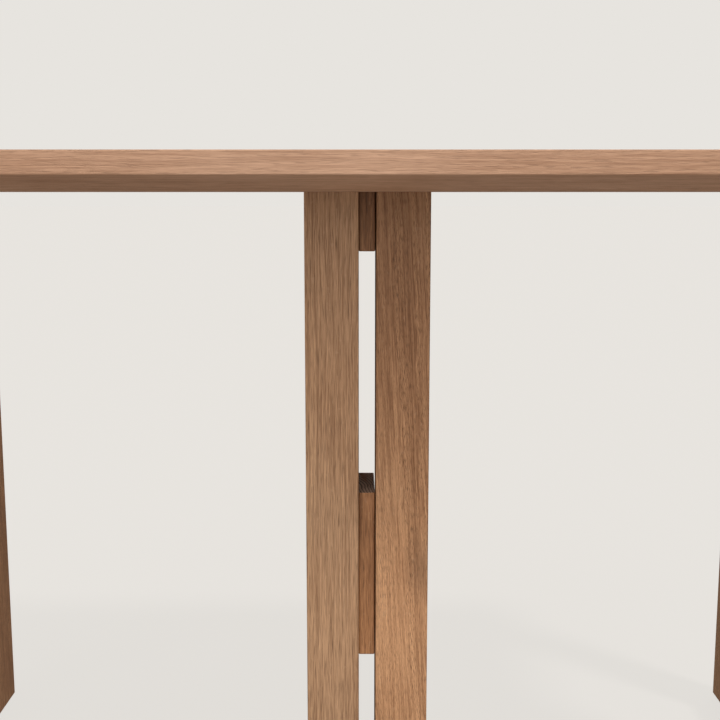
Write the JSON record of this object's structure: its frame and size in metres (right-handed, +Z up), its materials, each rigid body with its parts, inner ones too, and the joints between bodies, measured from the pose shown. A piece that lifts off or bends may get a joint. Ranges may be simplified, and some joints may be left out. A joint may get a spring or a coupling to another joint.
{
  "type": "gateleg table",
  "caption": "Oak gateleg table with a fold-over leaf that rests on a pair of swing-out gates, over two end frames and a stretcher",
  "frame": {"origin": "on the floor under the middle of the open table, below the leaf's hinge line", "axes": "+X along the hinge line to the right, +Y from the leaf towards the fixed top, +Z up"},
  "size_m": [1.2, 0.84, 0.7428],
  "materials": {
    "oak": "matt oiled",
    "hinge_brass": "brushed",
    "bearing_bronze": "plain",
    "screw_steel": "zinc plated",
    "channel_steel": "matt black",
    "catch_steel": "nickel plated",
    "glide_felt": "pressed felt",
    "bumper_rubber": "matt"
  },
  "bodies": {
    "base": {"fixed_top": "oak", "top_channels": "channel_steel", "top_channel_screws": "screw_steel", "top_hinge_plates": "hinge_brass", "top_hinge_screws": "hinge_brass", "hinge_pins": "hinge_brass", "upper_bushes": "bearing_bronze", "lower_bushes": "bearing_bronze", "thrust_washers": "bearing_bronze", "pivot_block": "oak", "block_screws": "screw_steel", "front_post_left": "oak", "back_post_left": "oak", "frame_top_rail_left": "oak", "frame_low_rail_left": "oak", "front_post_right": "oak", "back_post_right": "oak", "frame_top_rail_right": "oak", "frame_low_rail_right": "oak", "stretcher": "oak", "top_screws": "screw_steel", "frame_glides": "glide_felt", "closing_bumpers": "bumper_rubber"},
    "leaf": {"fold_leaf": "oak", "leaf_channels": "channel_steel", "leaf_channel_screws": "screw_steel", "leaf_hinge_plates": "hinge_brass", "leaf_hinge_screws": "hinge_brass"},
    "gate_left": {"gate_post_left": "oak", "gate_stile_left": "oak", "gate_top_rail_left": "oak", "gate_mid_rail_left": "oak", "gate_low_rail_left": "oak", "upper_pivot_left": "screw_steel", "lower_pivot_left": "screw_steel", "gate_glide_left": "glide_felt", "upper_pad": "oak", "lower_pad": "oak", "pad_dowels": "oak", "catch_magnets": "catch_steel"},
    "gate_right": {"gate_post_right": "oak", "gate_stile_right": "oak", "gate_top_rail_right": "oak", "gate_mid_rail_right": "oak", "gate_low_rail_right": "oak", "upper_pivot_right": "screw_steel", "lower_pivot_right": "screw_steel", "gate_glide_right": "glide_felt", "strike_discs": "catch_steel"}
  },
  "joints": [
    {"name": "leaf_fold", "type": "hinge", "parent": "base", "child": "leaf", "pos_m": [0, 0, 0.7403], "axis": [-1, 0, 0], "range_deg": [0, 180]},
    {"name": "gate_left_swing", "type": "hinge", "parent": "base", "child": "gate_left", "pos_m": [-0.0265, 0.055, 0.105], "axis": [0, 0, -1], "range_deg": [0, 90]},
    {"name": "gate_right_swing", "type": "hinge", "parent": "base", "child": "gate_right", "pos_m": [0.0265, 0.055, 0.105], "axis": [0, 0, 1], "range_deg": [0, 90]}
  ]
}
